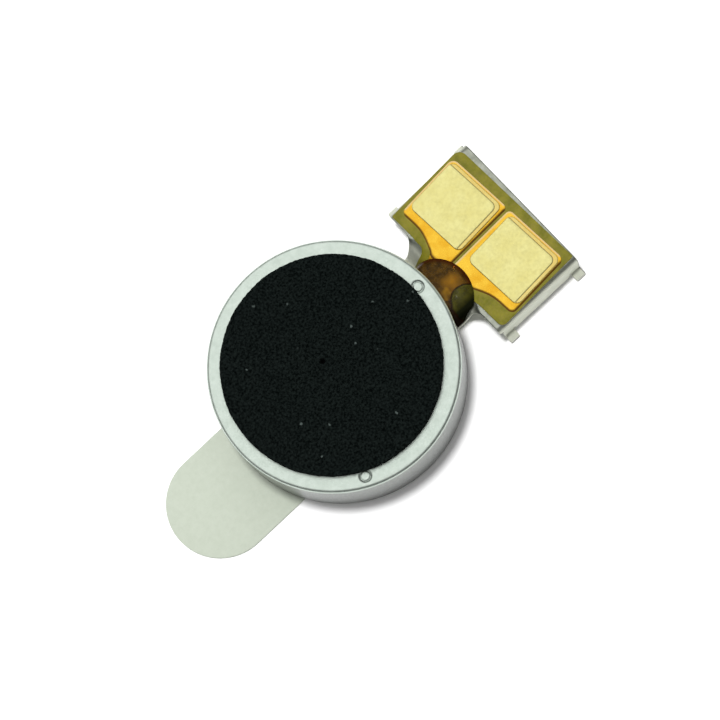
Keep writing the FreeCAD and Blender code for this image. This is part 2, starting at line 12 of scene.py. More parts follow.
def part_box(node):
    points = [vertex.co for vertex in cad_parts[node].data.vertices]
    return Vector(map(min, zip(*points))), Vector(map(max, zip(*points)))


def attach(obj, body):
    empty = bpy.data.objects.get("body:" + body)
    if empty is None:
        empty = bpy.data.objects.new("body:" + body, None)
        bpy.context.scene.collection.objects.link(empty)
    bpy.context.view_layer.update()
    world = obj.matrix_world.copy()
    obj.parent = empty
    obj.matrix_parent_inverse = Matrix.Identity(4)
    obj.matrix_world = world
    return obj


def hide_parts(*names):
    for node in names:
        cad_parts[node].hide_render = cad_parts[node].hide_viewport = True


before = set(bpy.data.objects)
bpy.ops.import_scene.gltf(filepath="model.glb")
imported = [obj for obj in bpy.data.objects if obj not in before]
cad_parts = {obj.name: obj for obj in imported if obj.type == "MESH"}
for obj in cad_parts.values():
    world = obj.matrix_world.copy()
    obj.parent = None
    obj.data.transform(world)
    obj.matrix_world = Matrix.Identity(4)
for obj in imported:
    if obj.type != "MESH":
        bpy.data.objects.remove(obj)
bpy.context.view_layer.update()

MM = 0.001
SCENE = bpy.context.scene

# Shapes in millimetres and degrees; those that the CAD has too are as in its source
CASE_SHEET, CASE_EDGE, CASE_LIP, CASE_CORNER = 0.25, 0.15, 0.04, 0.08
NOTCH_GAP, NOTCH_HEIGHT = 0.09, 0.43
MARK_ORBIT, MARK_RADIUS, MARK_DEPTH, MARK_TURNS = 4.50, 0.28, 0.05, (0, -117)
PIN_HOLE = (-0.20, 0.38)
TAB_HALF_WIDTH, TAB_Y = 2.20, -0.26
BRACKET_SHEET, COLLAR_INNER, COLLAR_OUTER = 0.20, 0.40, 0.65
RAMP_FOOT, RAMP_RUN = 5.15, 0.45
FOOT_OF_RAMP_BEND, HEAD_OF_RAMP_BEND, DECK_EDGE_BEND = 0.15, 0.65, 0.12
NECK_HALF_WIDTH, NECK_ROOT_ROUND = 1.76, 0.60
DECK_INNER, DECK_INNER_MINUS, WALL_START, FOOT_LENGTH = 5.75, 5.68, 5.85, 0.46
DECK_HALF_WIDTH, DECK_BEND, FOOT_REACH = 3.26, 0.30, 0.34
FOOT_BEND, FOOT_SLIT = 0.06, 0.08
FILM_LOW, FILM_HIGH, TRACK_HIGH = 0.03, 0.10, 0.14
FILM_RADIUS, FILM_EYE, FILM_NECK_HALF_WIDTH, FILM_NECK_END = 4.30, 0.70, 1.20, 5.84
FILM_CORNERS = [(5.90, -3.16, 0.26), (9.86, -3.02, 0.08), (9.60, 3.26, 0.36), (5.79, 3.12, 0.08)]
TRACK_NECK_EDGE, TRACK_HALF_GAP = 0.85, 0.10
TRACK_START, LAND_END, LAND_EDGE = 1.00, 1.38, 1.28
PRINT_ORIGIN, PRINT_SKEW = Vector((8.00, 0.05)), radians(3.5)
PRINT_OUTER, PRINT_INNER, PRINT_SIDE = 1.29, -1.60, 2.97
FUNNEL_SIDE, FUNNEL_END = 1.90, -2.05
CONTACT_HALF_SIZE, CONTACT_SPOT = Vector((1.26, 1.36)), Vector((-0.02, 1.58))
FIELD_MARGIN, FIELD_ROUND, STEP_WIDTH, STEP_DEPTH = 0.15, 0.25, 0.022, 0.022
BEAD_SPOT, BEAD_RADIUS = Vector((4.78, -0.44)), 1.57
MAGNET_BORE, WASHER_BORE, BEARING_BORE, SHAFT_CHAMFER = 1.90, 0.41, 0.415, 0.05
COIL_BORE, COIL_TURNS, COIL_LAYERS = 0.45, 14, 9
WEIGHT_INNER, WEIGHT_HALF_ANGLE = 2.0, 27


def box_mm(node):
    """A CAD node's lowest and highest corners, in millimetres."""
    low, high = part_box(node)
    return low / MM, high / MM


CASE_LOW, CASE_HIGH = box_mm("case_cover")
BRACKET_LOW, BRACKET_HIGH = box_mm("base_bracket")
CASE_RADIUS = CASE_HIGH.x
BASE_TOP = CASE_LOW.z + BRACKET_SHEET
DECK_TOP = BRACKET_HIGH.z
DECK_OUTER = BRACKET_HIGH.x


# Materials ----------------------------------

class Paint:
    """A Principled material for a slot of the record, with textures measured in millimetres."""

    def __init__(self, slot, color, **settings):
        self.slot = slot
        self.material = bpy.data.materials.new(slot)
        self.material.use_nodes = True
        self.tree = self.material.node_tree
        self.shader = self.tree.nodes["Principled BSDF"]
        self.shader.inputs["Base Color"].default_value = (*color, 1)
        for key, value in settings.items():
            self.shader.inputs[key.replace("_", " ")].default_value = value
        place = self.node("TexCoord")
        mapping = self.node("Mapping")
        mapping.inputs["Scale"].default_value = (1 / MM,) * 3
        self.link(place.outputs["Object"], mapping.inputs["Vector"])
        self.place = mapping.outputs["Vector"]

    def node(self, kind):
        return self.tree.nodes.new(f"ShaderNode{kind}")

    def link(self, source, target):
        self.tree.links.new(source, target)

    def stretched(self, scale, turn=0.0):
        """The millimetre coordinates, squeezed along each axis."""
        node = self.node("Mapping")
        node.inputs["Scale"].default_value = scale
        node.inputs["Rotation"].default_value = (0, 0, turn)
        self.link(self.place, node.inputs["Vector"])
        return node.outputs["Vector"]

    def noise(self, per_mm, detail=4.0, roughness=0.55, place=None):
        """A cloudy value round 0.5."""
        node = self.node("TexNoise")
        node.inputs["Scale"].default_value = per_mm
        node.inputs["Detail"].default_value = detail
        node.inputs["Roughness"].default_value = roughness
        self.link(place or self.place, node.inputs["Vector"])
        return node.outputs["Fac"]

    def cells(self, per_mm, output="Distance", dimensions="3D"):
        """Cells round scattered points: the distance to a point, or the cell's own shade."""
        node = self.node("TexVoronoi")
        node.voronoi_dimensions = dimensions
        node.inputs["Scale"].default_value = per_mm
        self.link(self.place, node.inputs["Vector"])
        return node.outputs[output]

    def band(self, value, low, high, out_low=0.0, out_high=1.0):
        """Stretch a value from low..high to out_low..out_high, and clamp it."""
        node = self.node("MapRange")
        ends = {"From Min": low, "From Max": high, "To Min": out_low, "To Max": out_high}
        for key, number in ends.items():
            node.inputs[key].default_value = number
        self.link(value, node.inputs["Value"])
        return node.outputs["Result"]

    def math(self, operation, first, second):
        """Combine two values, each a number or a node's output."""
        node = self.node("Math")
        node.operation = operation
        for socket, value in zip(node.inputs, (first, second)):
            if isinstance(value, (int, float)):
                socket.default_value = value
            else:
                self.link(value, socket)
        return node.outputs["Value"]

    def coordinate(self, axis):
        node = self.node("SeparateXYZ")
        self.link(self.place, node.inputs["Vector"])
        return node.outputs[axis]

    def distance(self, x, y):
        """How far a point lies from an upright line through (x, y)."""
        node = self.node("VectorMath")
        node.operation = "DISTANCE"
        node.inputs[1].default_value = (x, y, 0)
        self.link(self.stretched((1, 1, 0)), node.inputs[0])
        return node.outputs["Value"]

    def mix(self, factor, first, second):
        """Blend two colours, each a tuple or a node's output."""
        node = self.node("Mix")
        node.data_type = "RGBA"
        self.link(factor, node.inputs["Factor"])
        for socket, color in ((node.inputs[6], first), (node.inputs[7], second)):
            if isinstance(color, tuple):
                socket.default_value = (*color, 1)
            else:
                self.link(color, socket)
        return node.outputs[2]

    def color(self, source):
        self.link(source, self.shader.inputs["Base Color"])

    def roughness(self, source):
        self.link(source, self.shader.inputs["Roughness"])

    def bump(self, height, depth_mm, strength):
        """Raise the surface by height times depth, over any bump already there."""
        node = self.node("Bump")
        node.inputs["Distance"].default_value = depth_mm * MM
        node.inputs["Strength"].default_value = strength
        self.link(height, node.inputs["Height"])
        socket = self.shader.inputs["Normal"]
        if socket.is_linked:
            self.link(socket.links[0].from_socket, node.inputs["Normal"])
        self.link(node.outputs["Normal"], socket)


def case_steel():
    """Drawn steel: bright on top with a faint mint cast, and streaked down the wall, which is painted
    dark with shade, darkest at its foot.
    """
    paint = Paint("case_steel", (0.62, 0.7, 0.63), Metallic=1.0, Roughness=0.34)
    height = paint.coordinate("Z")
    wall_top = CASE_HIGH.z - CASE_EDGE
    on_wall = paint.band(height, wall_top + 0.09, wall_top - 0.01)
    mottle = paint.noise(3.0, 6.0, 0.6)
    top = paint.mix(paint.band(mottle, 0.35, 0.65), (0.56, 0.64, 0.57), (0.635, 0.715, 0.645))
    streaks = paint.noise(9.0, 5.0, 0.65, paint.stretched((1, 1, 0.12)))
    # Painted shade: the wall is painted far darker than the top, and darker still towards its foot
    wall_high = paint.mix(paint.band(streaks, 0.3, 0.7), (0.15, 0.165, 0.15), (0.2, 0.218, 0.2))
    wall = paint.mix(paint.band(height, wall_top - 0.2, CASE_LOW.z), wall_high, (0.1, 0.108, 0.1))
    paint.color(paint.mix(on_wall, top, wall))
    paint.roughness(paint.band(paint.noise(14.0, 4.0), 0.3, 0.7, 0.26, 0.42))
    paint.bump(paint.noise(30.0, 3.0, 0.6), 0.006, 0.5)
    paint.bump(streaks, 0.012, 0.4)
    return paint


def bracket_steel():
    """Cold-rolled sheet: bright, a little mottled and scratched; duller and painted lighter below the
    deck, and darker along its outer edge.
    """
    paint = Paint("bracket_steel", (0.6, 0.64, 0.58), Metallic=1.0, Roughness=0.32)
    mottle = paint.band(paint.noise(2.4, 7.0, 0.62), 0.36, 0.64)
    fine = paint.band(paint.noise(4.0, 5.0, 0.55, paint.stretched((0.4, 1, 1.6))), 0.30, 0.70)
    deck = paint.mix(mottle, (0.31, 0.33, 0.27), (0.48, 0.5, 0.43))
    # Painted light: below the deck the sheet is painted lighter than on it, where it is also duller
    below = paint.mix(fine, (0.58, 0.6, 0.5), (0.7, 0.72, 0.61))
    dull_and_lit = paint.band(paint.coordinate("Z"), DECK_TOP - 0.02, DECK_TOP - 0.25)
    # Darker in a thin line along the deck's outer edge
    dark_outer_edge = paint.band(paint.coordinate("X"), DECK_OUTER - 0.045, DECK_OUTER - 0.025)
    paint.color(paint.mix(dark_outer_edge, paint.mix(dull_and_lit, deck, below), (0.16, 0.17, 0.14)))
    scratches = paint.noise(6.0, 3.0, 0.7, paint.stretched((0.25, 6, 1), radians(12)))
    rough = paint.band(scratches, 0.3, 0.7, 0.22, 0.42)
    paint.roughness(paint.math("ADD", rough, paint.math("MULTIPLY", dull_and_lit, 0.30)))
    paint.link(paint.band(dull_and_lit, 0.0, 1.0, 1.0, 0.45), paint.shader.inputs["Metallic"])
    paint.bump(scratches, 0.006, 0.5)
    paint.bump(paint.noise(12.0, 4.0), 0.01, 0.5)
    return paint


def black_foam():
    """Fine-celled foam, near black, with a few pale specks of lint and a pin hole painted black with
    shade.
    """
    paint = Paint("black_foam", (0.003, 0.005, 0.0045), Roughness=0.95, Specular_IOR_Level=0.08)
    grain = paint.noise(11.0, 6.0, 0.7)
    cells = paint.cells(16.0)
    dark, light = (0.0002, 0.0008, 0.0007), (0.0078, 0.0112, 0.0102)
    shade = paint.mix(paint.band(grain, 0.40, 0.62), dark, light)
    chosen = paint.band(paint.cells(1.3, "Color", "2D"), 0.75, 0.77)
    wisp = paint.band(paint.noise(9.0), 0.3, 0.7, -0.05, 0.05)
    ragged = paint.math("ADD", paint.cells(1.3, "Distance", "2D"), wisp)
    speck = paint.math("MULTIPLY", chosen, paint.band(ragged, 0.065, 0.030))
    flecked = paint.mix(speck, shade, (0.06, 0.075, 0.07))
    # Painted shade: the pin hole is painted fully black
    in_hole = paint.band(paint.distance(*PIN_HOLE), 0.13, 0.07)
    paint.color(paint.mix(in_hole, flecked, (0, 0, 0)))
    paint.bump(grain, 0.05, 0.8)
    paint.bump(cells, 0.03, 0.7)
    return paint


def liner_paper():
    """Pale silicone-coated release paper with a faint fibre."""
    paint = Paint("liner_paper", (0.63, 0.69, 0.58), Coat_Weight=0.15, Coat_Roughness=0.35)
    fibre = paint.noise(5.0, 6.0, 0.65)
    paint.color(paint.mix(paint.band(fibre, 0.32, 0.68), (0.44, 0.486, 0.4), (0.478, 0.524, 0.438)))
    specks = paint.band(paint.noise(13.0, 2.0, 0.5), 0.70, 0.78)
    paint.roughness(paint.math("SUBTRACT", 0.5, paint.math("MULTIPLY", specks, 0.25)))
    paint.bump(paint.noise(7.0, 5.0, 0.6), 0.008, 0.5)
    return paint


def white_tape():
    """Double-sided tape on a white carrier with a faint weave."""
    paint = Paint("white_tape", (0.7, 0.7, 0.65), Roughness=0.6)
    weave = paint.noise(5.0, 5.0, 0.6, paint.stretched((1, 4, 1)))
    paint.color(paint.mix(paint.band(weave, 0.3, 0.7), (0.6, 0.6, 0.55), (0.78, 0.78, 0.73)))
    paint.bump(weave, 0.01, 0.5)
    return paint


def clear_adhesive():
    """Yellowish glue that lets some light through."""
    paint = Paint("clear_adhesive", (0.62, 0.58, 0.46), Roughness=0.3, Transmission_Weight=0.4)
    wet = paint.noise(4.0, 4.0)
    paint.color(paint.mix(paint.band(wet, 0.3, 0.7), (0.52, 0.48, 0.36), (0.7, 0.66, 0.54)))
    paint.bump(wet, 0.01, 0.4)
    return paint


def polyimide():
    """Olive film: amber polyimide over dark adhesive, cloudy in patches."""
    paint = Paint("polyimide_film", (0.16, 0.15, 0.01), Roughness=0.30, Specular_IOR_Level=0.18)
    cloud = paint.noise(2.2, 6.0, 0.65)
    fine = paint.noise(11.0, 4.0, 0.6)
    base = paint.mix(paint.band(cloud, 0.34, 0.66), (0.115, 0.115, 0.006), (0.205, 0.185, 0.018))
    paint.color(paint.mix(paint.band(fine, 0.42, 0.75, 0.0, 0.35), base, (0.2, 0.15, 0.05)))
    paint.bump(cloud, 0.03, 0.5)
    paint.bump(fine, 0.006, 0.5)
    return paint


def amber_copper():
    """Gold-orange conductor under its thin cover film, with painted shade where its rim dips and a
    painted highlight where it rises.
    """
    paint = Paint("amber_copper", (0.76, 0.46, 0.03), Metallic=0.75, Roughness=0.25)
    cloud = paint.noise(1.8, 5.0, 0.6)
    amber = paint.mix(paint.band(cloud, 0.36, 0.64), (0.7, 0.37, 0.014), (0.8, 0.5, 0.04))
    height = paint.coordinate("Z")
    flat_top = DECK_TOP + TRACK_HIGH
    # Painted shade: brown where the rim is tipped down on the side away from the light
    dip = paint.band(height, flat_top - 0.006, flat_top - 0.024)
    on_deck = paint.band(height, flat_top - 0.045, flat_top - 0.040)
    shaded = paint.mix(paint.math("MULTIPLY", dip, on_deck), amber, (0.11, 0.045, 0.003))
    # Painted highlight: paler where the rim is raised on the side toward the light
    lit_rim_highlight = paint.band(height, flat_top + 0.002, flat_top + 0.006)
    paint.color(paint.mix(lit_rim_highlight, shaded, (0.66, 0.48, 0.21)))
    paint.bump(paint.noise(8.0, 5.0, 0.6), 0.012, 0.5)
    return paint


def pale_gilding():
    """Satin pale gold, a little mottled, and warmer on the lower step along two edges."""
    paint = Paint("pale_gilding", (0.84, 0.78, 0.34), Metallic=0.85, Roughness=0.36)
    patch = paint.noise(1.5, 6.0, 0.62)
    fine = paint.noise(9.0, 5.0, 0.6)
    base = paint.mix(paint.band(patch, 0.34, 0.66), (0.725, 0.66, 0.245), (0.775, 0.725, 0.305))
    worn = paint.mix(paint.band(fine, 0.45, 0.75, 0.0, 0.5), base, (0.69, 0.635, 0.26))
    plate_top = DECK_TOP + TRACK_HIGH + 0.10
    low_step = paint.band(paint.coordinate("Z"), plate_top - 0.018, plate_top - 0.030)
    paint.color(paint.mix(low_step, worn, (0.74, 0.57, 0.17)))
    paint.roughness(paint.band(fine, 0.3, 0.7, 0.30, 0.44))
    paint.bump(patch, 0.02, 0.35)
    paint.bump(fine, 0.008, 0.5)
    return paint


def brown_resin():
    """Brown sealing resin: a painted amber glow in the middle, olive over the bare neck, painted shade
    to -Y, red-black at its skirt.
    """
    paint = Paint("brown_resin", (0.12, 0.07, 0.01), Roughness=0.10, IOR=1.22)
    cloud = paint.noise(2.0, 2.5, 0.5)
    blotch = paint.band(paint.noise(4.0, 3.0, 0.5), 0.36, 0.64)
    ragged = paint.band(cloud, 0.3, 0.7, -0.22, 0.22)
    # Painted glow: a bright amber patch in the middle and a brighter amber streak beside it
    amber = paint.math("ADD", paint.distance(5.72, -0.50), ragged)
    streak = paint.math("ADD", paint.distance(5.18, -0.66), ragged)
    bare = paint.math("ADD", paint.distance(5.64, -1.52), paint.band(cloud, 0.3, 0.7, -0.07, 0.07))
    centre, across = paint.distance(*BEAD_SPOT), paint.coordinate("Y")
    # Painted light and shade on the olive over the bare neck: lighter where sunlit, near black towards
    # -Y
    sunlit = paint.mix(blotch, (0.06, 0.055, 0.006), (0.11, 0.102, 0.01))
    olive = paint.mix(paint.band(across, -1.55, -0.98), (0.006, 0.007, 0.003), sunlit)
    tone = paint.mix(blotch, (0.04, 0.02, 0.002), (0.11, 0.054, 0.005))
    # Layers: the painted glow, painted shade towards -Y past the film's edge, the red-black skirt, a
    # dark ring round the bare neck that is partly the film's edge and partly painted shade, and the
    # olive
    layers = (
        (amber, 0.48, 0.05, (0.33, 0.15, 0.008)),
        (streak, 0.26, 0.02, (0.4, 0.2, 0.012)),
        (across, -1.15, -1.50, (0.012, 0.008, 0.005)),
        (centre, BEAD_RADIUS - 0.22, BEAD_RADIUS - 0.04, (0.06, 0.012, 0.002)),
        (bare, 0.77, 0.71, (0.01, 0.003, 0.001)),
        (bare, 0.71, 0.64, olive))
    for value, start, full, cover in layers:
        tone = paint.mix(paint.band(value, start, full), tone, cover)
    paint.color(tone)
    clear = paint.band(across, -1.50, -1.10)
    paint.link(paint.math("MULTIPLY", clear, 0.2), paint.shader.inputs["Specular IOR Level"])
    paint.link(paint.math("MULTIPLY", clear, 0.4), paint.shader.inputs["Transmission Weight"])
    paint.bump(cloud, 0.03, 0.5)
    return paint


def plain(name, dark, light, rough, grain, stretch=(1, 1, 1), depth=0.006, metallic=1.0,
          spread=(0.07, 0.08)):
    """A plain metal, plastic or laminate whose tone and finish vary over its grain."""
    paint = Paint(name, light, Metallic=metallic, Roughness=rough)
    streak = paint.noise(grain, 5.0, 0.6, paint.stretched(stretch))
    paint.color(paint.mix(paint.band(streak, 0.32, 0.68), dark, light))
    paint.roughness(paint.band(streak, 0.3, 0.7, rough - spread[0], rough + spread[1]))
    paint.bump(streak, depth, 0.6)
    return paint


CLEAR_ADHESIVE = clear_adhesive()
AMBER_COPPER = amber_copper()
PALE_GILDING = pale_gilding()
SHAFT_STEEL = plain("shaft_steel", (0.5, 0.51, 0.52), (0.66, 0.67, 0.68), 0.18, 8.0, (1, 1, 6), 0.003)
MAGNET_PLATING = plain("magnet_plating", (0.36, 0.37, 0.37), (0.52, 0.53, 0.52), 0.30, 7.0)
BRUSH_ALLOY = plain("brush_alloy", (0.62, 0.5, 0.28), (0.84, 0.72, 0.44), 0.22, 9.0, (1, 6, 1))
SOLDER = plain("solder", (0.46, 0.47, 0.48), (0.68, 0.69, 0.7), 0.20, 12.0)
BRONZE = plain("sintered_bronze", (0.26, 0.16, 0.07), (0.46, 0.32, 0.16), 0.52, 18.0, depth=0.02)
COIL_WIRE = plain("coil_wire", (0.46, 0.15, 0.05), (0.72, 0.28, 0.1), 0.25, 6.0)
TUNGSTEN = plain("tungsten_alloy", (0.2, 0.2, 0.21), (0.34, 0.34, 0.35), 0.48, 20.0, depth=0.012)
POLYMER = {"depth": 0.008, "metallic": 0.0, "spread": (0.08, 0.10)}
WASHER_FILM = plain("washer_film", (0.34, 0.24, 0.09), (0.46, 0.34, 0.15), 0.30, 6.0, **POLYMER)
BOARD = plain("circuit_board", (0.03, 0.1, 0.045), (0.06, 0.17, 0.08), 0.38, 7.0, (1, 5, 1), **POLYMER)
RESIN = plain("moulded_resin", (0.012, 0.012, 0.013), (0.03, 0.03, 0.032), 0.48, 9.0, **POLYMER)


# Mesh tools, in millimetres -----------------

def add_object(name, data):
    """A new object in the scene."""
    item = bpy.data.objects.new(name, data)
    SCENE.collection.objects.link(item)
    return item


def add_piece(node, mesh_data, paint, body="housing", crease=38):
    """A closed mesh that stands for a CAD node and rides on a body."""
    points, faces = mesh_data
    name, slot = f"{node}_fine", paint.slot
    mesh = bpy.data.meshes.new(name)
    mesh.from_pydata([tuple(x * MM for x in point) for point in points], [], faces)
    mesh.validate()
    mesh.shade_smooth()
    mesh.set_sharp_from_angle(angle=radians(crease))
    mesh.materials.append(paint.material)
    piece = add_object(name, mesh)
    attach(piece, body)
    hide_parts(node)
    return piece


def arc(x, y, radius, start, end, step):
    """Points along an arc, in degrees, both ends included."""
    count = max(2, ceil(abs(end - start) / step) + 1)
    turns = [radians(start + (end - start) * i / (count - 1)) for i in range(count)]
    return [(x + radius * cos(turn), y + radius * sin(turn)) for turn in turns]


def rounded(corners, step=9.0):
    """An outline through (x, y, radius) corners, anticlockwise, with each corner rounded."""
    points = []
    count = len(corners)
    for i, (x, y, radius) in enumerate(corners):
        here = Vector((x, y))
        if radius <= 0:
            points.append((x, y))
            continue
        back = (Vector(corners[i - 1][:2]) - here).normalized()
        ahead = (Vector(corners[(i + 1) % count][:2]) - here).normalized()
        half = back.angle(ahead) / 2
        centre = here + (back + ahead).normalized() * radius / sin(half)
        first = here + back * radius / tan(half) - centre
        last = here + ahead * radius / tan(half) - centre
        turn = atan2(first.x * last.y - first.y * last.x, first.dot(last))
        steps = max(2, ceil(abs(degrees(turn)) / step))
        for k in range(steps + 1):
            spot = centre + Matrix.Rotation(turn * k / steps, 2) @ first
            points.append((spot.x, spot.y))
    return points


def divided(loop, longest):
    """The same closed outline with no side longer than this."""
    points = []
    for i, start in enumerate(loop):
        end = loop[(i + 1) % len(loop)]
        pieces = max(1, ceil(dist(start, end) / longest))
        points += [(start[0] + (end[0] - start[0]) * k / pieces,
                    start[1] + (end[1] - start[1]) * k / pieces) for k in range(pieces)]
    return points


def inset(loop, distance):
    """A closed outline moved to its left, which is inwards on an anticlockwise one."""
    here = np.array(loop)
    forward = np.roll(here, -1, axis=0) - here
    forward /= np.linalg.norm(forward, axis=1)[:, None]
    left = np.stack([-forward[:, 1], forward[:, 0]], axis=1)
    before = np.roll(left, 1, axis=0)
    mitre = (left + before) / np.maximum(1 + (left * before).sum(axis=1), 0.3)[:, None]
    return here + mitre * distance


def inside(points, loop):
    """Which points lie inside a closed outline."""
    start, end = np.array(loop), np.roll(np.array(loop), -1, axis=0)
    x, y = points[:, :1], points[:, 1:]
    spans = (start[:, 1] > y) != (end[:, 1] > y)
    rise = np.where(end[:, 1] == start[:, 1], 1e-12, end[:, 1] - start[:, 1])
    crossing = x < (end[:, 0] - start[:, 0]) * (y - start[:, 1]) / rise + start[:, 0]
    return (spans & crossing).sum(axis=1) % 2 == 1


def rim_steps(low, high, edge, steps):
    """How far in, and how high, each ring round a plate's rim runs, from the upper side down."""
    turns = [pi / 2 * k / steps for k in range(steps + 1)]
    upper = [(edge * (1 - sin(a)), high - edge * (1 - cos(a))) for a in turns]
    if edge <= 0:
        upper = [(0.0, high)]
    return upper + [(shift, low + high - height) for shift, height in upper[::-1]]


def clear_spots(spots, borders, least=0.015):
    """The spots inside the first outline and outside the others, but not right beside any."""
    if not len(spots):
        return []
    spots = np.array(spots, float)
    keep = inside(spots, borders[0])
    for border in borders[1:]:
        keep &= ~inside(spots, border)
    spots = spots[keep]
    corners = np.array(sum(borders, []))
    reach = np.sqrt(((spots[:, None] - corners[None]) ** 2).sum(axis=2)).min(axis=1)
    return spots[reach > least]


def sheet(loops, low, high, edge, spots=(), fold=None, lift=None, edge_steps=3):
    """Points and faces of a plate: its outline anticlockwise, then its holes clockwise.

    edge rounds the rim, spots are inner points, fold(x, y, height) bends the plate into place,
    and lift(x, y) raises its upper side."""
    rim = rim_steps(low, high, edge, edge_steps)
    points, faces, borders, edges, pairs = [], [], [], [], []
    for loop in loops:
        start, first, count = len(points), len(pairs), len(loop)
        for shift, height in rim:
            points += [(x, y, height) for x, y in (inset(loop, shift) if shift else loop)]
        for ring in range(len(rim) - 1):
            above, below = start + ring * count, start + (ring + 1) * count
            faces += [(above + i, below + i, below + (i + 1) % count, above + (i + 1) % count)
                      for i in range(count)]
        borders.append([Vector(point[:2]) for point in points[start:start + count]])
        edges += [(first + i, first + (i + 1) % count) for i in range(count)]
        pairs += [(start + i, start + (len(rim) - 1) * count + i) for i in range(count)]
    flat = sum(borders, [])
    for x, y in clear_spots(spots, borders):
        pairs.append((len(points), len(points) + 1))
        points += [(x, y, high), (x, y, low)]
        flat.append(Vector((x, y)))
    _, _, triangles, origins, _, _ = delaunay_2d_cdt(flat, edges, [], 1, 1e-7)[:6]
    corners = [pairs[origin[0]] for origin in origins]
    middles = np.array([np.mean([points[corners[i][0]][:2] for i in face], axis=0)
                        for face in triangles])
    solid = np.ones(len(triangles), bool)
    for loop in loops[1:]:
        solid &= ~inside(middles, loop)
    for face in np.array(triangles)[solid]:
        faces.append(tuple(corners[i][0] for i in face))
        faces.append(tuple(corners[i][1] for i in face[::-1]))
    if lift:
        points = [(x, y, z + lift(x, y) * max(0.0, (z - low) / (high - low))) for x, y, z in points]
    if fold:
        points = [fold(*point) for point in points]
    return points, faces


def grid(x_values, y_values):
    """Every pair of the two lists' values."""
    return [(x, y) for x in x_values for y in y_values]


def lathe(profile, segments, x=0.0, y=0.0, warp=None):
    """Points and faces turned from a closed (radius, height) profile, anticlockwise seen from +Y.

    warp(angle, radius, height) moves a point of the finished wall."""
    points, faces = [], []
    count = len(profile)
    for k in range(segments):
        angle = 2 * pi * k / segments
        for radius, height in profile:
            if warp:
                radius, height = warp(angle, radius, height)
            points.append((x + radius * cos(angle), y + radius * sin(angle), height))
    for k in range(segments):
        here, ahead = k * count, (k + 1) % segments * count
        faces += [(here + i, ahead + i, ahead + (i + 1) % count, here + (i + 1) % count)
                  for i in range(count)]
    return points, faces


def joined(*parts):
    """Several lists of points and faces as one."""
    points, faces = [], []
    for more_points, more_faces in parts:
        first = len(points)
        points += more_points
        faces += [tuple(i + first for i in face) for face in more_faces]
    return points, faces


def circle(radius, segments, x=0.0, y=0.0, wobble=None):
    """A circle anticlockwise, whose radius wobble(angle) may vary."""
    turns = [2 * pi * k / segments for k in range(segments)]
    sizes = [radius + (wobble(turn) if wobble else 0.0) for turn in turns]
    return [(x + size * cos(turn), y + size * sin(turn)) for turn, size in zip(turns, sizes)]


# Case, foam, tape and liner -----------------

def case_profile():
    """The cup's section: lip, wall, rounded edge, top, and back along the inner side."""
    inner, bottom, top = CASE_RADIUS - CASE_SHEET, CASE_LOW.z, CASE_HIGH.z
    ceiling, wall_low, wall_high = top - CASE_SHEET, bottom + CASE_LIP, top - CASE_EDGE
    corner = inner - CASE_CORNER
    lip = arc(CASE_RADIUS - CASE_LIP, wall_low, CASE_LIP, -90, 0, 30)
    wall = [(CASE_RADIUS, wall_low + (wall_high - wall_low) * k / 12) for k in range(1, 12)]
    outer_edge = arc(CASE_RADIUS - CASE_EDGE, wall_high, CASE_EDGE, 0, 90, 9)
    marked = np.arange(CASE_RADIUS - CASE_EDGE - 0.02, MARK_ORBIT - MARK_RADIUS - 0.02, -0.02)
    flat = [(radius, top) for radius in (*marked, 3.6, 2.4, 1.2, 0.05)]
    under = [(0.05, ceiling), (corner, ceiling)]
    under += arc(corner, ceiling - CASE_CORNER, CASE_CORNER, 90, 0, 22)
    return lip + wall + outer_edge + flat + under + [(inner, bottom)]


def mark_depth(x, y):
    """How deep a punch mark reaches at a point: a ring groove round a shallower floor."""
    for mark_turn in MARK_TURNS:
        turn = radians(mark_turn)
        away = dist((x, y), (MARK_ORBIT * cos(turn), MARK_ORBIT * sin(turn)))
        if away < MARK_RADIUS:
            share = away / MARK_RADIUS
            groove = exp(-((share - 0.74) / 0.16) ** 2)
            floor = 0.45 * (1 - min(1.0, max(0.0, (share - 0.5) / 0.3)))
            return MARK_DEPTH * max(groove, floor)
    return 0.0


def make_case():
    """The drawn cup, with its notch and two punch marks worked into the lathed wall."""
    notch_half_width = NECK_HALF_WIDTH + NOTCH_GAP
    lip_top, mark_start = CASE_LOW.z + 0.06, MARK_ORBIT - 0.4

    def warp(angle, radius, height):
        along, side = radius * cos(angle), radius * sin(angle)
        if along > 0 and abs(side) < notch_half_width and height < lip_top:
            return radius, height + NOTCH_HEIGHT
        if height > CASE_HIGH.z - 1e-6 and radius > mark_start:
            return radius, height - mark_depth(along, side)
        return radius, height

    add_piece("case_cover", lathe(case_profile(), 900, warp=warp), case_steel())


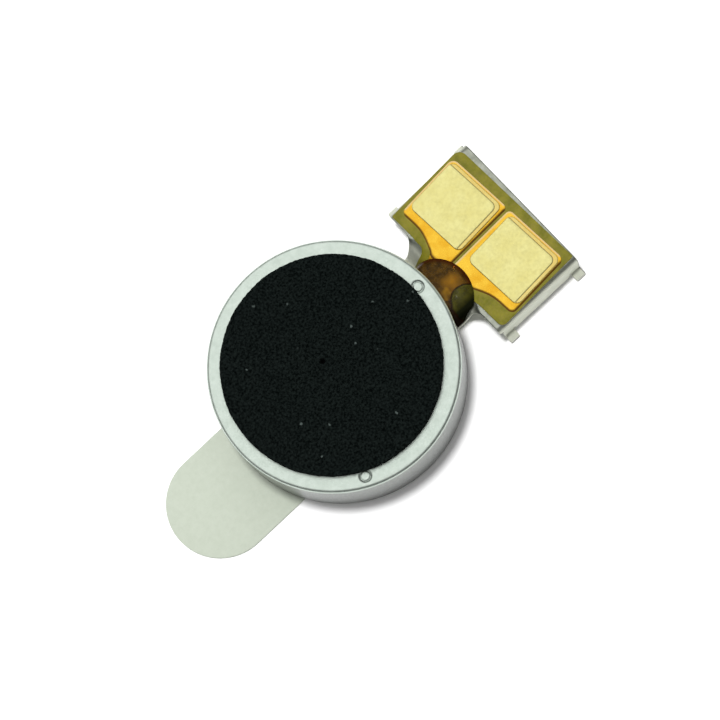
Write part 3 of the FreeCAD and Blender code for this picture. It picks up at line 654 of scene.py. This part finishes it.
def make_foam():
    """The foam disc: cut a little ragged, soft at its edge, with one pin hole near the middle."""
    low, high = box_mm("foam_pad")
    centre = (low + high) / 2
    radius = (high.x - low.x) / 2 - 0.01
    hole = Vector(PIN_HOLE)
    waves = ((0.022, 5), (0.016, 32), (0.010, 90))

    def ragged(turn):
        spot = Vector((cos(turn), sin(turn), 0.0))
        return sum(depth * noise(spot * fine) for depth, fine in waves)

    def lift(x, y):
        dent = exp(-((dist((x, y), hole) / 0.11) ** 2)) * 0.22
        wave = 0.020 * noise(Vector((x, y, 0)) * 0.9) + 0.012 * noise(Vector((x, y, 4)) * 5)
        return min(0.0, wave - 0.018) - dent

    step = 0.12
    reach = int(radius / step) + 1
    spots = [(centre.x + i * step + 0.03 * noise(Vector((i, j, 2.5)) * 0.7), centre.y + j * step)
             for i in range(-reach, reach + 1) for j in range(-reach, reach + 1)]
    turns = np.linspace(0, 2 * pi, 16, endpoint=False)
    spots += [(hole.x + r * cos(a), hole.y + r * sin(a))
              for r in (0.04, 0.08, 0.12, 0.16, 0.21) for a in turns]
    outline = circle(radius, 720, centre.x, centre.y, ragged)
    mesh = sheet([outline], low.z, high.z, 0.05, spots, lift=lift)
    piece = add_piece("foam_pad", mesh, black_foam(), crease=60)

    low, high = box_mm("foam_adhesive")
    outline = circle((high.x - low.x) / 2, 240, centre.x, centre.y)
    add_piece("foam_adhesive", sheet([outline], low.z, high.z, 0.01), CLEAR_ADHESIVE)


def make_tape():
    """The disc of tape, cut a little unevenly."""
    low, high = box_mm("mounting_tape")

    def wobble(turn):
        return 0.006 * noise(Vector((cos(turn), sin(turn), 1)) * 12)

    outline = circle(high.x - 0.008, 360, wobble=wobble)
    add_piece("mounting_tape", sheet([outline], low.z, high.z, 0.02), white_tape())


def make_liner():
    """A disc with a round-ended pull tab, punched from one sheet of release paper."""
    low, high = box_mm("release_liner")
    radius = high.x
    upper = degrees(asin((TAB_Y + TAB_HALF_WIDTH) / radius))
    lower = degrees(asin((TAB_HALF_WIDTH - TAB_Y) / radius))
    outline = arc(0, 0, radius, lower - 180, 180 - upper, 1.5)
    outline += arc(low.x + TAB_HALF_WIDTH, TAB_Y, TAB_HALF_WIDTH, 90, 270, 2.0)
    add_piece("release_liner", sheet([outline], low.z, high.z, 0.03), liner_paper(), "liner")


# Bracket and the flexible circuit on it -----

RAMP_ANGLE = atan2(DECK_TOP - BASE_TOP, RAMP_RUN)


def ramp_profile(x, y):
    """Height and slope of the sheet's upper side, with both bends of the ramp rounded.

    The upper bend is wide across the neck and tightens beside it, where the deck stays flat."""
    beside = min(1.0, max(0.0, (abs(y) - NECK_HALF_WIDTH) / 0.5))
    bend = HEAD_OF_RAMP_BEND + (DECK_EDGE_BEND - HEAD_OF_RAMP_BEND) * beside ** 0.5
    foot_start = RAMP_FOOT - FOOT_OF_RAMP_BEND * tan(RAMP_ANGLE / 2)
    foot_end = foot_start + FOOT_OF_RAMP_BEND * sin(RAMP_ANGLE)
    head_end = RAMP_FOOT + RAMP_RUN + bend * tan(RAMP_ANGLE / 2)
    head_start = head_end - bend * sin(RAMP_ANGLE)
    if x <= foot_start:
        return BASE_TOP, 0.0
    if x < foot_end:
        slope = asin((x - foot_start) / FOOT_OF_RAMP_BEND)
        return BASE_TOP + FOOT_OF_RAMP_BEND * (1 - cos(slope)), slope
    if x <= head_start:
        return BASE_TOP + (x - RAMP_FOOT) * tan(RAMP_ANGLE), RAMP_ANGLE
    if x < head_end:
        slope = asin((head_end - x) / bend)
        return DECK_TOP - bend * (1 - cos(slope)), slope
    return DECK_TOP, 0.0


def follow_ramp(x, y, height):
    """Lay a flat layer on the neck, ramp and deck, at this height above the sheet's upper side."""
    level, slope = ramp_profile(x, y)
    return x - height * sin(slope), y, level + height * cos(slope)


FOLD_START = DECK_HALF_WIDTH - DECK_BEND
FOLD_END = FOLD_START + DECK_BEND * pi / 2
FOOT_TOP = BRACKET_LOW.z + BRACKET_SHEET
FOOT_FOLD_START = FOLD_END + (DECK_TOP - DECK_BEND) - (FOOT_TOP + FOOT_BEND)
FOOT_FOLD_END = FOOT_FOLD_START + FOOT_BEND * pi / 2
FOOT_TIP = FOOT_FOLD_END + FOOT_REACH - FOOT_BEND
WALL_TIP = FOLD_END + (DECK_TOP - DECK_BEND) - BRACKET_LOW.z


def fold_bracket(x, along, height):
    """Fold the flat blank: up the ramp, down the side walls and out again at the four feet."""
    side = 1 if along > 0 else -1
    reach = abs(along)
    if reach <= FOLD_START or x < DECK_INNER_MINUS - 0.2:
        return follow_ramp(x, along, height)
    wall = FOLD_START + DECK_BEND
    foot_end = FOOT_LENGTH + FOOT_SLIT / 2
    on_foot = x < WALL_START + foot_end or x > DECK_OUTER - foot_end
    if reach <= FOLD_END:
        turn = (reach - FOLD_START) / DECK_BEND
        radius = DECK_BEND + height
        return x, side * (FOLD_START + radius * sin(turn)), DECK_TOP - DECK_BEND + radius * cos(turn)
    if reach <= FOOT_FOLD_START or not on_foot:
        return x, side * (wall + height), DECK_TOP - DECK_BEND - (reach - FOLD_END)
    centre_y, centre_z = wall + FOOT_BEND, FOOT_TOP + FOOT_BEND
    radius = FOOT_BEND - height
    turn = min(1.0, (reach - FOOT_FOLD_START) / (FOOT_FOLD_END - FOOT_FOLD_START)) * pi / 2
    beyond = max(0.0, reach - FOOT_FOLD_END)
    return x, side * (centre_y - radius * cos(turn) + beyond), centre_z - radius * sin(turn)


def ramp_spots(half_width):
    """Inner points close enough together to take the two bends of the ramp."""
    return grid(np.arange(RAMP_FOOT - 0.15, RAMP_FOOT + RAMP_RUN + 0.38, 0.03),
                np.arange(-half_width, half_width + 0.01, 0.14))


def bracket_blank():
    """The outline of the flat blank: base plate, neck, deck, side walls and feet."""
    plate_radius = -BRACKET_LOW.x
    neck_turn = degrees(asin(NECK_HALF_WIDTH / plate_radius))
    neck_start = plate_radius * cos(radians(neck_turn))
    plate = arc(0, 0, plate_radius, neck_turn, 360 - neck_turn, 1.0)
    slit_root = FOOT_FOLD_START - 0.06
    inner_foot, outer_foot = WALL_START + FOOT_LENGTH, DECK_OUTER - FOOT_LENGTH
    half = [
        (DECK_INNER, NECK_HALF_WIDTH, NECK_ROOT_ROUND), (DECK_INNER, FOLD_END, 0.06),
        (WALL_START, FOLD_END, 0.0), (WALL_START, FOOT_TIP, 0.05), (inner_foot, FOOT_TIP, 0.05),
        (inner_foot, slit_root, 0.0), (inner_foot + FOOT_SLIT, slit_root, 0.0),
        (inner_foot + FOOT_SLIT, WALL_TIP, 0.05), (outer_foot - FOOT_SLIT, WALL_TIP, 0.05),
        (outer_foot - FOOT_SLIT, slit_root, 0.0), (outer_foot, slit_root, 0.0),
        (outer_foot, FOOT_TIP, 0.05), (DECK_OUTER, FOOT_TIP, 0.05)]
    other_half = [(DECK_INNER_MINUS, -y, r) for x, y, r in half[:2]]
    other_half += [(x, -y, r) for x, y, r in half[2:]]
    neck = (neck_start, NECK_HALF_WIDTH, 0)
    corners = [(neck_start, -NECK_HALF_WIDTH, 0), *other_half, *half[::-1], neck]
    return divided(plate[1:-1] + rounded(corners), 0.09)


def make_bracket():
    """One punched and folded blank, and the collar drawn up round the shaft."""
    deck_folds, foot_folds = (FOLD_START, FOLD_END, 9), (FOOT_FOLD_START, FOOT_FOLD_END, 5)
    folds = [*np.linspace(*deck_folds), *np.linspace(*foot_folds)]
    spots = ramp_spots(NECK_HALF_WIDTH + 0.8)
    spots += grid(np.arange(DECK_INNER + 0.05, DECK_OUTER, 0.14), folds + [-y for y in folds])
    hole = circle(COLLAR_INNER, 64)[::-1]
    body = sheet([bracket_blank(), hole], -BRACKET_SHEET, 0.0, 0.035, spots, fold_bracket)
    top, edge = box_mm("lower_washer")[0].z, 0.06
    profile = [(COLLAR_INNER, BASE_TOP), (COLLAR_OUTER, BASE_TOP), (COLLAR_OUTER, top - edge),
               (COLLAR_OUTER - edge, top), (COLLAR_INNER, top)]
    add_piece("base_bracket", joined(body, lathe(profile, 64)), bracket_steel())


def flex_loops():
    """Outline of the flexible circuit, laid flat: its round part, neck and deck end."""
    half_width = FILM_NECK_HALF_WIDTH
    neck_turn = degrees(asin(half_width / FILM_RADIUS))
    neck_start = FILM_RADIUS * cos(radians(neck_turn))
    plate = arc(0, 0, FILM_RADIUS, neck_turn, 360 - neck_turn, 1.2)
    tail = [(neck_start, -half_width, 0), (FILM_NECK_END, -half_width, 0.3), *FILM_CORNERS,
            (FILM_NECK_END, half_width, 0.3), (neck_start, half_width, 0)]
    return [divided(plate[1:-1] + rounded(tail), 0.09), circle(FILM_EYE, 64)[::-1]]


def make_flex():
    """The polyimide film, faintly wrinkled on the deck, and the adhesive under it."""
    spots = ramp_spots(FILM_NECK_HALF_WIDTH + 0.2)
    wrinkle_start = 6.2
    film_spots = spots + grid(np.arange(wrinkle_start, 9.9, 0.22), np.arange(-3.2, 3.2, 0.22))

    def wrinkle(x, y):
        return 0.010 * noise(Vector((x, y, 0)) * 1.7) if x > wrinkle_start else 0.0

    film = sheet(flex_loops(), FILM_LOW, FILM_HIGH, 0.02, film_spots, follow_ramp, wrinkle)
    add_piece("flex_film", film, polyimide())
    bond = sheet(flex_loops(), 0.0, FILM_LOW, 0.006, spots, follow_ramp)
    add_piece("flex_bond", bond, CLEAR_ADHESIVE)


def on_print(along, across):
    """A point of the printed pattern, which lies a few degrees askew on the deck."""
    spot = PRINT_ORIGIN + Matrix.Rotation(PRINT_SKEW, 2) @ Vector((along, across))
    return spot.x, spot.y


def lit_rim(loop, width, drop, rise, toward, rings=4):
    """Inner points along an outline, and a lift that tips the rim away from the light.

    The surface falls by drop at rims that face away from the direction toward, and rises by
    rise at rims that face it."""
    border = np.array(loop)
    spots = [tuple(point) for k in range(1, rings + 1) for point in inset(loop, width * k / rings)]
    ahead = np.roll(border, -1, axis=0) - np.roll(border, 1, axis=0)
    ahead /= np.linalg.norm(ahead, axis=1)[:, None]
    facing = ahead[:, 1] * toward[0] - ahead[:, 0] * toward[1]

    def lift(x, y):
        away = ((border - (x, y)) ** 2).sum(axis=1)
        nearest = int(away.argmin())
        share = min(1.0, sqrt(away[nearest]) / width)
        falloff = 1 - share * share * (3 - 2 * share)
        shaded = min(1.0, max(0.0, 0.45 - 0.9 * facing[nearest]))
        return falloff * (rise * (1 - shaded) - drop * shaded)

    return spots, lift


def make_conductors():
    """The two tracks; rims facing away from +X+Y dip and take painted shade, the others rise to a
    painted highlight.
    """
    skirt, lit_side = 0.05, (0.69, 0.73)
    for name, side in (("conductor_a", 1), ("conductor_b", -1)):
        gap, neck_edge, land_edge = TRACK_HALF_GAP * side, TRACK_NECK_EDGE * side, LAND_EDGE * side
        corners = [
            (TRACK_START, gap, 0), (RAMP_FOOT, gap, 0), (*on_print(PRINT_OUTER, gap), 0.16),
            (*on_print(PRINT_OUTER, PRINT_SIDE * side), 0.24),
            (*on_print(PRINT_INNER, PRINT_SIDE * side), 0.20),
            (*on_print(PRINT_INNER, FUNNEL_SIDE * side), 2.0), (*on_print(FUNNEL_END, neck_edge), 0.4),
            (RAMP_FOOT, neck_edge, 0), (LAND_END, neck_edge, 0), (LAND_END, land_edge, 0),
            (TRACK_START, land_edge, 0)]
        outline = rounded(corners if side > 0 else corners[::-1])
        outline = divided([tuple(point) for point in inset(outline, -skirt)], 0.05)
        spots, lift = lit_rim(outline, 0.13, 0.035, 0.008, lit_side)
        spots = ramp_spots(1.4) + spots
        mesh = sheet([outline], FILM_HIGH, TRACK_HIGH, 0.002, spots, follow_ramp, lift, 1)
        add_piece(name, mesh, AMBER_COPPER, crease=60)


# Centre of the rounded corner where a contact's flat field ends
FIELD_CORNER = Vector((CONTACT_HALF_SIZE.x - FIELD_MARGIN - FIELD_ROUND,
                       -CONTACT_HALF_SIZE.y + FIELD_MARGIN + FIELD_ROUND))


def field_edge(shift):
    """The line where a contact's flat field steps down, moved outwards by shift.

    It runs beside the outer edge and the -Y edge, with a rounded corner between them."""
    half, radius = CONTACT_HALF_SIZE, FIELD_ROUND + shift
    right, low = half.x - FIELD_MARGIN + shift, -half.y + FIELD_MARGIN - shift
    side = [(right, y) for y in np.arange(half.y - 0.10, low + radius, -0.08)]
    corner = arc(right - radius, low + radius, radius, 0, -90, 12)
    return side + corner + [(x, low) for x in np.arange(right - radius - 0.08, -half.x + 0.08, -0.08)]


def contact_spots():
    """Inner points of a contact: a grid on its field, and lines along the step beside it."""
    half, clear = CONTACT_HALF_SIZE, FIELD_ROUND - 0.07
    spots = [(u, v) for u, v in grid(np.arange(-half.x + 0.07, half.x - FIELD_MARGIN - 0.06, 0.08),
                                     np.arange(-half.y + FIELD_MARGIN + 0.08, half.y - 0.04, 0.08))
             if u < FIELD_CORNER.x or v > FIELD_CORNER.y or dist((u, v), FIELD_CORNER) < clear]
    for share in (-2, -1, -0.5, 0, 0.5, 1, 2):
        spots += field_edge(share * STEP_WIDTH)
    return spots


def contact_drop(u, v):
    """How far a contact's upper side falls at a point: a step past its field, grooved at its foot."""
    past_u, past_v = u - FIELD_CORNER.x, FIELD_CORNER.y - v
    beyond = max(past_u, past_v) - FIELD_ROUND
    if past_u > 0 and past_v > 0:
        beyond = hypot(past_u, past_v) - FIELD_ROUND
    step = 1 / (1 + exp(-max(-30.0, min(30.0, beyond / (STEP_WIDTH / 2)))))
    groove = exp(-(beyond / STEP_WIDTH) ** 2)
    return STEP_DEPTH * step + 0.012 * groove


def make_contacts():
    """Gilded plates, pressed slightly hollow, stepped down along two of their edges."""
    half, corner_round = CONTACT_HALF_SIZE, 0.28
    signs = ((-1, -1), (1, -1), (1, 1), (-1, 1))
    flat_outline = rounded([(u * half.x, v * half.y, corner_round) for u, v in signs])
    turn = Matrix.Rotation(PRINT_SKEW, 2)
    unturn = turn.inverted()
    for name, across, seed in (("contact_a", CONTACT_SPOT.y, 3.0), ("contact_b", -CONTACT_SPOT.y, 9.0)):
        low, high = box_mm(name)
        middle = Vector(on_print(CONTACT_SPOT.x, across))
        outline = [tuple(middle + turn @ Vector(point)) for point in divided(flat_outline, 0.05)]
        spots = [tuple(middle + turn @ Vector(point)) for point in contact_spots()]

        def lift(x, y, middle=middle, seed=seed):
            wave = noise(Vector((x * 0.8, y * 0.8, seed)))
            wave += 0.4 * noise(Vector((x * 2.6, y * 2.6, seed)))
            return 0.008 * (wave - 1) - contact_drop(*(unturn @ (Vector((x, y)) - middle)))

        mesh = sheet([outline], low.z, high.z, 0.035, spots, lift=lift)
        add_piece(name, mesh, PALE_GILDING, crease=60)


def bead_outline(side_end):
    """The bead's free edge, cut off at the neck's -Y edge, and its edge along the case wall."""
    wall_radius = CASE_RADIUS + 0.005
    free = [(x, max(-side_end, y)) for x, y in arc(*BEAD_SPOT, BEAD_RADIUS, -95, 95, 1.5)]
    free = [point for point in free if hypot(*point) > wall_radius]
    start, end = (degrees(atan2(y, x)) for x, y in (free[-1], free[0]))
    return free + arc(0, 0, wall_radius, start, end, 1.0)[1:-1]


def make_bead():
    """A drop of resin between the case wall and the deck, ending at the neck's own edges."""
    high = box_mm("sealing_bead")[1]
    side_end, front_swell, side_swell = NECK_HALF_WIDTH - 0.02, 0.35, 0.12
    spots = grid(np.arange(4.5, 6.6, 0.05), np.arange(-1.9, 1.3, 0.05))
    points, faces = sheet([bead_outline(side_end)], 0.0, 1.0, 0.0, spots)
    shaped = []
    for x, y, share in points:
        _, _, floor = follow_ramp(x + TRACK_HIGH * sin(ramp_profile(x, y)[1]), y, TRACK_HIGH)
        away = dist((x, y), BEAD_SPOT)
        rise = max(0.0, min(1.0, (BEAD_RADIUS - away) / front_swell, (y + side_end) / side_swell))
        swell = sqrt(max(0.0, 1 - (1 - rise) ** 2))
        crown = high.z - 0.01 - 0.10 * (away / BEAD_RADIUS) ** 2
        crown += 0.02 * noise(Vector((x, y, 6)) * 1.4)
        top = floor + max(0.0, crown - floor) * swell
        shaped.append((x, y, floor + 0.004 + (top - floor) * share))
    add_piece("sealing_bead", (shaped, faces), brown_resin(), crease=70)


# Inside the case ----------------------------

def make_ring(node, inner, paint, edge=0.03, segments=160, body="housing"):
    """A rectangular ring round the shaft, with its edges rounded."""
    low, high = box_mm(node)
    outer = (high.x - low.x) / 2
    corners = [(inner, low.z), (outer, low.z), (outer, high.z), (inner, high.z)]
    profile = rounded([(radius, height, edge) for radius, height in corners], 22)
    add_piece(node, lathe(profile, segments), paint, body)


def make_stator():
    """What stands still inside the case: magnet, washers and shaft."""
    make_ring("magnet", MAGNET_BORE, MAGNET_PLATING, 0.06, 240)
    make_ring("lower_washer", WASHER_BORE, WASHER_FILM, 0.015)
    make_ring("upper_washer", WASHER_BORE, WASHER_FILM)
    low, high = box_mm("shaft")
    edge, centre = SHAFT_CHAMFER, 0.005
    profile = [(centre, low.z), (high.x - edge, low.z), (high.x, low.z + edge), (high.x, high.z - edge),
               (high.x - edge, high.z), (centre, high.z)]
    add_piece("shaft", lathe(profile, 96), SHAFT_STEEL)


def coil_profile(inner, outer, low, high):
    """A coil's section, with its enamelled turns on the outside and its layers at both ends."""
    turn, layer = (high - low) / COIL_TURNS, (outer - inner) / COIL_LAYERS
    outside, top = [], []
    for k in range(COIL_TURNS):
        outside += arc(outer - turn / 2, low + turn * (k + 0.5), turn / 2, -80, 80, 32)
    for k in range(COIL_LAYERS):
        top += arc(outer - layer * (k + 0.5), high - layer / 2, layer / 2, 10, 170, 32)
    return outside + top + [(radius, low + high - height) for radius, height in top[::-1]]


def make_rotor():
    """What turns: bearing, two air-core coils and the weight."""
    make_ring("bearing", BEARING_BORE, BRONZE, 0.05, body="rotor")
    for node in ("coil_a", "coil_b"):
        low, high = box_mm(node)
        profile = coil_profile(COIL_BORE, (high.x - low.x) / 2, low.z, high.z)
        add_piece(node, lathe(profile, 96, *((low + high) / 2)[:2]), COIL_WIRE, "rotor")
    low, high = box_mm("weight")
    outline = arc(0, 0, high.x, -WEIGHT_HALF_ANGLE, WEIGHT_HALF_ANGLE, 1.5)
    outline += arc(0, 0, WEIGHT_INNER, WEIGHT_HALF_ANGLE, -WEIGHT_HALF_ANGLE, 2.0)
    add_piece("weight", sheet([outline], low.z, high.z, 0.05), TUNGSTEN, "rotor")


# What shows least keeps its CAD mesh, with its edges eased by this much
EASED_NODES = (
    ("magnet_glue", CLEAR_ADHESIVE, 0.004), ("brush_a", BRUSH_ALLOY, 0.012),
    ("brush_b", BRUSH_ALLOY, 0.012), ("brush_solder", SOLDER, 0.02),
    ("commutator_board", BOARD, 0.02), ("commutator_segments", PALE_GILDING, 0.008),
    ("coil_solder", SOLDER, 0.03), ("rotor_frame", RESIN, 0.04))


def ease_node(name, paint, width):
    """Give a CAD node its material, and soften its edges with modifiers."""
    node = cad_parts[name]
    node.data.materials.clear()
    node.data.materials.append(paint.material)
    weld = node.modifiers.new("weld", "WELD")
    weld.merge_threshold = 0.0005 * MM
    bevel = node.modifiers.new("bevel", "BEVEL")
    bevel.width = width * MM
    bevel.segments = 2
    bevel.limit_method = "ANGLE"
    bevel.angle_limit = radians(40)
    normals = node.modifiers.new("normals", "WEIGHTED_NORMAL")
    normals.keep_sharp = True


# Floor, light and camera --------------------

def make_stage():
    """A plain pale floor just under the liner, far wider than the view."""
    paint = Paint("floor", (0.97, 0.97, 0.97), Roughness=0.9, Specular_IOR_Level=0.0)
    half, level = 0.6, -0.01 * MM
    corners = [(-half, -half, level), (half, -half, level), (half, half, level), (-half, half, level)]
    mesh = bpy.data.meshes.new("floor")
    mesh.from_pydata(corners, [], [(0, 1, 2, 3)])
    mesh.materials.append(paint.material)
    floor = add_object("floor", mesh)


def make_world():
    """Soft studio surround: a bright ceiling a little to the +Y side, fading to a dim horizon."""
    world = bpy.data.worlds.new("studio")
    SCENE.world = world
    world.use_nodes = True
    tree = world.node_tree
    place = tree.nodes.new("ShaderNodeTexCoord")
    toward = tree.nodes.new("ShaderNodeVectorMath")
    toward.operation = "DOT_PRODUCT"
    lean = radians(18)
    toward.inputs[1].default_value = (0, sin(lean), cos(lean))
    ramp = tree.nodes.new("ShaderNodeValToRGB")
    steps = ((0.0, 0.12), (0.5, 0.18), (0.77, 0.48), (0.91, 1.20), (1.0, 1.25))
    elements = ramp.color_ramp.elements
    while len(elements) < len(steps):
        elements.new(0.5)
    for element, (height, level) in zip(elements, steps):
        element.position = height
        element.color = (level, level, level, 1)
    tree.links.new(place.outputs["Generated"], toward.inputs[0])
    tree.links.new(toward.outputs["Value"], ramp.inputs["Fac"])
    tree.links.new(ramp.outputs["Color"], tree.nodes["Background"].inputs["Color"])


def make_light():
    """A round soft box almost overhead, which no metal mirrors."""
    azimuth, height, distance = radians(87), radians(85.5), 0.25
    data = bpy.data.lights.new("key", "AREA")
    data.shape = "DISK"
    data.size, data.energy = 0.030, 0.53
    level = cos(height)
    away = Vector((cos(azimuth) * level, sin(azimuth) * level, sin(height)))
    light = add_object("key", data)
    light.location = away * distance
    light.rotation_mode = "QUATERNION"
    light.rotation_quaternion = (-away).to_track_quat("-Z", "Y")
    light.visible_camera = False
    light.visible_glossy = False


def make_camera():
    """Almost straight down, leaning towards the -Y side, with the deck at the upper right."""
    tilt, lean_side, up_turn = radians(10.5), radians(-101.4), radians(122)
    lens, sensor = 200.0, 36.0
    view_width, aside, above = 28.62 * MM, 0.70 * MM, 0.75 * MM
    back = Matrix.Rotation(lean_side, 3, "Z") @ Vector((sin(tilt), 0, cos(tilt)))
    axis_up = (Vector((0, 0, 1)) - back * back.z).normalized()
    right = Matrix.Rotation(-up_turn, 3, back) @ axis_up
    up = back.cross(right)
    target = right * aside + up * above + Vector((0, 0, CASE_LOW.z * MM))
    data = bpy.data.cameras.new("camera")
    data.lens, data.sensor_width = lens, sensor
    data.clip_start, data.clip_end = 0.01, 5.0
    camera = add_object("camera", data)
    pose = Matrix((right, up, back)).transposed().to_4x4()
    pose.translation = target + back * (view_width * lens / sensor)
    camera.matrix_world = pose
    SCENE.camera = camera


make_case()
make_foam()
make_tape()
make_liner()
make_bracket()
make_flex()
make_conductors()
make_contacts()
make_bead()
make_stator()
make_rotor()
for eased in EASED_NODES:
    ease_node(*eased)
make_stage()
make_world()
make_light()
make_camera()
SCENE.view_settings.view_transform = "Standard"
